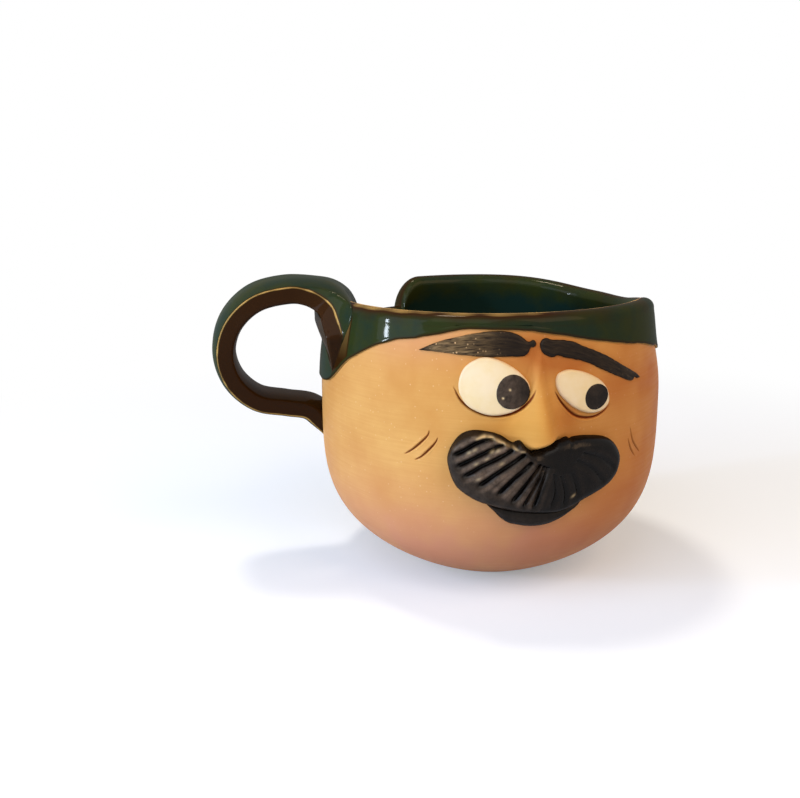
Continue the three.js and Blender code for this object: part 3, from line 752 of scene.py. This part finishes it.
def makeBrow(side):
    spec, count, rows = brows[side], 190, 27
    seed = spec["seed"]
    lowLine, highLine = (smoothLine(sorted(spec[edge]), 300) for edge in ("low", "high"))
    ease = np.linspace(0, math.pi, count)
    start, end = lowLine[0, 0], lowLine[-1, 0]
    station = start + (end - start) * (0.55 * (1 - np.cos(ease)) / 2 + 0.45 * ease / math.pi)
    bottom = np.interp(station, lowLine[:, 0], lowLine[:, 1])
    top = np.interp(station, highLine[:, 0], highLine[:, 1])
    t = np.linspace(-1, 1, rows)[:, None]
    breadth, middle = np.maximum(top - bottom, 0.02), (top + bottom) / 2
    width = t * breadth / 2
    across, up = np.broadcast_to(station, (rows, count)), middle + width
    spine = np.stack([station, middle], axis=1)
    along = np.broadcast_to(np.r_[0, np.cumsum(np.hypot(*np.diff(spine, axis=0).T))], across.shape)
    up = up + 0.07 * cloud(along, np.sign(t) * 9 + 30, 0.9, seed) * np.abs(t) ** 3 * np.minimum(breadth, 1)
    lower, upper = (np.stack([across[k], up[k]], axis=1) for k in (0, -1))
    inside, _ = nearLine(across, up, np.vstack([lower, upper[::-1], lower[:1]]))
    streak = 0.08 * cloud(along, width + 20, 2.4, seed + 1)
    streak = streak + 0.2 * cloud(along / 9, width + 20, 0.42, seed + 2)
    skin = onWall(across, up, brows["thickness"] * rounded(inside, brows["edgeRadius"]) * (1 + streak))
    bed = onWall(across, up, np.full(across.shape, -brows["bed"]))
    # each ring runs along the top of one station and back beneath it
    rings = np.concatenate([skin, bed[::-1]]).transpose(1, 0, 2)
    outer = along if side == "left" else along[:, -1:] - along
    # dry toward the outer tip, where the streaks are also painted lighter as sheen
    dryAndLit = spec["dryness"] * ramp(outer, 0.5, 4) * (1 - ramp(outer, 8, 19))  # towards the outer tip
    dryAndLit = dryAndLit * (1 - ramp(inside, 0.5, 2.2) * 0.4)
    paint = {"along": along, "across": np.broadcast_to(width, along.shape), "dryAndLit": dryAndLit}
    paint = {key: np.concatenate([values, values[::-1]]).T for key, values in paint.items()}
    makePiece("brow_" + side, rings, "black_slip", paint)


# Moustache: a thick bow of black clay, combed stroke by stroke with a blunt edge, with a smooth rolled rim
moustache = {
    "seat": 0.3, "thickness": 2.7, "roll": 2.4, "bevel": 1.3, "middle": (-0.8, 32.6),
    "outline": [
        (-1.7, 36.3), (-2.5, 37.2), (-3.4, 38.2), (-4.1, 38.6), (-4.8, 38.3), (-5.3, 37.9), (-7.8, 39.3),
        (-10.5, 40), (-13.2, 40.1), (-15.4, 39.2), (-17.1, 37), (-17.9, 34.6), (-17.5, 31.9), (-16.3, 29),
        (-14.7, 27.5), (-12, 25.9), (-9, 24.9), (-6.2, 24.1), (-2.1, 23.3), (3.8, 23), (6.8, 23.8),
        (9.2, 24.9), (13.5, 26.5), (15.8, 27.8), (17.3, 29.6), (18, 32.6), (17.3, 34.7), (15.3, 36.8),
        (10.3, 38), (7, 38.1), (6.2, 37.9), (5.6, 38.3), (3.8, 37.9), (1, 37.2), (-0.7, 36.4)],
    # each stroke of the comb, from its start beside the nose to its end at the rim
    "strokes": [
        [(-8.7, 39.1), (-10.4, 38.9), (-12.2, 38.2), (-14.6, 36.5), (-16.9, 35.3)],
        [(-6.9, 38.1), (-9.1, 37.2), (-11.6, 35.7), (-13.6, 34.5), (-16.3, 33)],
        [(-5.3, 37.1), (-8.8, 35), (-11.3, 33.6), (-13.2, 32.2), (-15.2, 31)],
        [(-3, 36.2), (-6.6, 33.6), (-8.5, 32.2), (-10.4, 30.6), (-12.4, 29.2)],
        [(-1.7, 34.4), (-4.9, 31.5), (-6.5, 29.8), (-8.6, 27.5)],
        [(-0.1, 33.9), (-2.4, 30.5), (-3.9, 28.5), (-6, 25.8)],
        [(0.6, 33.6), (-1.1, 29.7), (-2.2, 27.4), (-3.7, 24.8)],
        [(1.1, 33.4), (-0.2, 29), (-1, 26.4), (-1.8, 24.3)]],
    "faintStrokes": [
        [(2.1, 32), (2.7, 28.7), (2.5, 26.6), (1.6, 24.3)],
        [(3.4, 31.4), (4.3, 29), (4.7, 26.8), (4.4, 24.5)],
        [(5.6, 31.8), (6.8, 28.9), (7.4, 26.3)], [(6.4, 34.2), (10.4, 31.6), (13.4, 28)],
        [(7.6, 35.4), (12.2, 33.6), (15.8, 30.6)]],
    "depth": 1.2, "faintDepth": 0.5, "strokeWidth": 1.0,
    # painted glints: a broken line along the top edge of the left wing, and spots on the crests
    "glintEdge": [
        (-14, 38.1), (-13, 38.7), (-11, 39.5), (-9.9, 39.4), (-8.7, 39), (-6.8, 38), (-5.1, 37.2),
        (-4.2, 36.7), (-2.6, 36.4)],
    "glintSpots": [
        (-12.4, 37), (-9.3, 36.7), (-8.3, 36.9), (-11.7, 31.2), (-7.6, 34.4), (-12.1, 34.2),
        (-10.2, 35.3), (-13.4, 36.4), (6.2, 27)],
}


def makeMoustache():
    spec = moustache
    across, up, _, inside = pressedRings(spec["outline"], spec["middle"], 520, 96)
    # a smooth rolled rim, but a crisp edge along the top of the left wing, where the comb began
    crisp = (1 - ramp(across, -2.5, -0.5)) * ramp(up + 0.19 * across, 31, 33.5)
    bevel = ramp(inside, -0.9, spec["bevel"]) * np.clip(inside / 0.6, 0, 1) ** 0.5
    rim = rounded(inside, spec["roll"]) * (1 - crisp) + bevel * crisp
    height = spec["seat"] + spec["thickness"] * rim
    height = height - 0.9 * hump(across, 0.3, 2.4) * ramp(up, 31, 36.5)  # valley beneath the nose
    height = height + 0.35 * hump(across, -9, 6) * hump(up, 33, 6)  # the fuller left wing
    groove, ridge = np.zeros(across.shape), np.zeros(across.shape)
    for group, depth in ((spec["strokes"], spec["depth"]), (spec["faintStrokes"], spec["faintDepth"])):
        for stroke in group:
            gap, along = nearLine(across, up, smoothLine(stroke, 16))
            taper = ramp(along, 0, 0.06) * (1 - ramp(along, 0.82, 1)) * ramp(inside, 0.05, 0.8)
            far = np.clip(gap / spec["strokeWidth"], 0, 1)
            # narrow at the bottom, with soft lips
            bottom = 0.75 - 0.75 * rounded(far, 1) + 0.12 * (1 + np.cos(math.pi * far))
            groove = np.maximum(groove, depth * taper * bottom)
            beside = hump(gap, 1.1 * spec["strokeWidth"], 0.42)
            ridge = np.maximum(ridge, taper * depth / spec["depth"] * beside)
    height = height - groove
    roughAndLitWing = 1 - 0.9 * ramp(across, -9, 3)  # the left wing is rougher, and painted browner where the light falls on it
    lumps = 0.11 * cloud(across, up, 1.7, 31) + 0.06 * cloud(across, up, 0.8, 32)
    height = height + lumps * rounded(inside, 1) * roughAndLitWing
    # brown wear with painted light: lit lines beside the grooves, painted shade in the grooves and on the
    # crisp top edge
    wornAndLit = np.clip(0.26 + 0.85 * ridge - 0.6 * groove, 0, 1) * roughAndLitWing
    wornAndLit = wornAndLit * (1 - 0.6 * crisp * (1 - ramp(inside, 0.4, 1.2)))
    # painted glints along the top edge of the left wing and on the crests
    gap, along = nearLine(across, up, smoothLine(spec["glintEdge"], 40))
    patchy = ramp(cloud(along * 20, along, 1.3, 33), -0.8, 0.6)
    chipAndGlint = 0.9 * hump(gap, 0, 0.22) * np.sin(math.pi * along) ** 0.5 * patchy
    for u, v in spec["glintSpots"]:
        # across and along the run of the comb
        athwart, onward = 0.6 * (across - u) - 0.8 * (up - v), 0.8 * (across - u) + 0.6 * (up - v)
        chipAndGlint = np.maximum(chipAndGlint, 0.36 * hump(np.hypot(athwart, 0.5 * onward), 0, 0.24))
    pressOn("moustache", across, up, height, "black_clay", {"wornAndLit": wornAndLit, "chipAndGlint": chipAndGlint})


lowerLip = {
    "seat": 0.2, "thickness": 1.7, "roll": 2.2, "middle": (-0.6, 22.4),
    "outline": [
        (-10.5, 25.5), (-6, 24.6), (-2.1, 24), (3.8, 23.6), (9.4, 24.8), (8.7, 23.6), (7, 22.4),
        (5, 21.2), (3, 20.4), (0.5, 20), (-1.8, 20.1), (-4, 20.5), (-5.8, 21), (-7.3, 22), (-8.8, 23.6)],
}


def makeLowerLip():
    spec = lowerLip
    across, up, _, inside = pressedRings(spec["outline"], spec["middle"], 220, 30)
    height = spec["seat"] + spec["thickness"] * rounded(inside, spec["roll"])
    height = height + 0.05 * cloud(across, up, 2, 41)
    wornAndLit = 0.12 * rounded(inside, 2)
    pressOn("lower_lip", across, up, height, "black_clay", {"wornAndLit": wornAndLit, "chipAndGlint": 0 * wornAndLit})


# Nose: a ridge drawn up from the wall itself, so its foot runs out thin into the clay
nose = {
    "height": 3.9, "middle": (-0.4, 43), "reach": (54.5, 38.5), "foot": 2.4,
    # height and place of the ridge, the half widths to either side, and the line of the tip
    "ridge": [(36, 0.7), (38.5, 0.9), (42, 0.3), (45.5, -0.1), (49, -0.4), (54, -0.5)],
    "left": [(36, 5.6), (39, 5.4), (42, 4.7), (47, 3), (54, 2)],
    "right": [(36, 3.4), (39, 3.3), (42, 2.9), (47, 2.2), (54, 1.8)],
    "tip": [(-2, 37.4), (0, 38.1), (3, 39.4)],
    "outline": [
        (0.2, 56), (2.4, 53), (3.4, 48.5), (5.6, 43.5), (7, 39.5), (5.6, 36.6), (2.4, 35.4), (-0.8, 35),
        (-4.2, 35.6), (-7.6, 37), (-8.4, 40), (-6.2, 43.8), (-3.8, 47.5), (-2.4, 52)],
}


def makeNose():
    spec = nose
    across, up, _, inside = pressedRings(spec["outline"], spec["middle"], 420, 130)
    top, bottom = spec["reach"]
    down = np.clip((top - up) / (top - bottom), 0, 1)
    ridgeLine, leftWidth, rightWidth = (np.interp(up, *zip(*spec[key])) for key in ("ridge", "left", "right"))
    width = np.where(across < ridgeLine, leftWidth, rightWidth)
    rise = 0.12 + 0.88 * ramp(down, 0, 1)
    tip = 1 - ramp(np.interp(across, *zip(*spec["tip"])) - up, 0, 2.6)
    height = spec["height"] * rise * tip * np.exp(-(np.abs(across - ridgeLine) / width * 1.25) ** 2)
    cutDepth, shade = cutLines(across, up)
    height = height * ramp(inside, 0, spec["foot"]) - 0.02 + np.maximum(cutDepth, -0.5)
    pressOn("nose", across, up, height, "terracotta", {"cutShade": shade, **tintedClay(across, up)})


makeBody()
makeCoat()
makeHandle()
makeNose()
for makePair in (makeEye, makePupil, makeBrow):
    for side in ("left", "right"):
        makePair(side)
makeMoustache()
makeLowerLip()
print("all pieces made")


def seenRays(tree):  # 1 for what the eye sees, straight, mirrored or through glass
    path = addNode(tree, "LightPath")
    seen = path.outputs["Is Camera Ray"]
    for kind in ("Is Glossy Ray", "Is Transmission Ray"):
        seen = addNode(tree, "Math", (seen, path.outputs[kind]), operation="MAXIMUM")
    return seen


# Floor: matt white card that runs out to plain white, and keeps the soft shadow near the cup
floor = {"size": 3.0, "colour": "#cbddf8", "glow": 0.3, "shadowFrom": 0.09, "shadowTo": 0.22}


def makeFloor():
    half = floor["size"] / 2
    mesh = bpy.data.meshes.new("floor")
    corners = [(-half, -half, 0), (half, -half, 0), (half, half, 0), (-half, half, 0)]
    mesh.from_pydata(corners, [], [(0, 1, 2, 3)])
    material, tree, spot, _ = startMaterial("mattWhiteCard")
    seen = seenRays(tree)
    away = addNode(tree, "VectorMath", (spot,), operation="LENGTH")
    far = addNode(tree, "MapRange", (away.outputs["Value"], floor["shadowFrom"], floor["shadowTo"]),
                  interpolation_type="SMOOTHSTEP")
    farSeen = addNode(tree, "Math", (far, seen), operation="MULTIPLY")
    glow = addNode(tree, "Math", (seen, floor["glow"]), operation="MULTIPLY")
    card = addNode(tree, "BsdfDiffuse", {"Color": linear(floor["colour"])})
    lift = addNode(tree, "Emission", {"Strength": glow})
    near = addNode(tree, "AddShader", (card, lift))
    white = addNode(tree, "Emission", {"Strength": 1.0})
    mixed = addNode(tree, "MixShader", (farSeen, near, white))
    addNode(tree, "OutputMaterial", {"Surface": mixed})
    mesh.materials.append(material)
    plane = addObject("floor", mesh)


# World: plain white to the eye and in reflections, a gentle even light on everything else
world = {"ambient": 0.2, "tint": "#ffead6"}


def makeWorld():
    made = bpy.data.worlds.new("studio")
    bpy.context.scene.world = made
    made.use_nodes = True
    tree = made.node_tree
    tree.nodes.clear()
    seen = seenRays(tree)
    soft = addNode(tree, "Background", {"Color": linear(world["tint"]), "Strength": world["ambient"]})
    white = addNode(tree, "Background", {"Color": (1, 1, 1, 1), "Strength": 1.0})
    mixed = addNode(tree, "MixShader", (seen, soft, white))
    addNode(tree, "OutputWorld", {"Surface": mixed})


# Lamps: azimuth and elevation from the cup in degrees, distance and size in metres, power in watts, colour
lamps = {
    "window": (-77, 16, 0.6, (0.36, 0.4), 1.9, "#dcebff"),
    "skyLight": (-36, 46, 0.6, (0.4, 0.4), 1.3, "#fff8ee"),
    "windowGap": (-86, 8, 0.55, (0.024, 0.07), 1.1, "#e6f2ff"),
    "warmLamp": (36, 42, 0.6, (0.36, 0.36), 1.85, "#ffd0a0"),
    "ceilingLamp": (-140, 74, 0.6, (0.1, 0.08), 1.5, "#ffe6c4"),
}


def makeLamps():
    target = Vector((0, 0, 0.035))  # the middle of the cup
    for name, (azimuth, elevation, distance, size, power, colour) in lamps.items():
        a, e = math.radians(azimuth), math.radians(elevation)
        away = Vector((math.sin(a) * math.cos(e), -math.cos(a) * math.cos(e), math.sin(e)))
        data = bpy.data.lights.new(name, "AREA")
        data.shape = "RECTANGLE"
        data.size, data.size_y = size
        data.energy, data.color = power, linear(colour)[:3]
        lamp = addObject(name, data)
        lamp.location = target + away * distance
        lamp.rotation_euler = away.to_track_quat("Z", "Y").to_euler()


# Camera, placed and aimed to the photograph's view
camera = {
    "place": (-0.06293, -0.22754, 0.09844), "aim": (-0.01923, 0.00672, 0.03574), "roll": -0.295,
    "lens": 47.72, "sensor": 36, "nearest": 0.01,
}


def makeCamera():
    data = bpy.data.cameras.new("camera")
    data.lens, data.sensor_width, data.clip_start = camera["lens"], camera["sensor"], camera["nearest"]
    made = addObject("camera", data)
    made.location = camera["place"]
    toAim = Vector(camera["aim"]) - Vector(camera["place"])
    made.rotation_mode = "QUATERNION"
    roll = Quaternion((0, 0, 1), math.radians(camera["roll"]))
    made.rotation_quaternion = toAim.to_track_quat("-Z", "Y") @ roll
    bpy.context.scene.camera = made


makeFloor()
makeWorld()
makeLamps()
makeCamera()
bpy.context.scene.view_settings.view_transform = "Standard"
print("studio set")

bpy.context.view_layer.update()
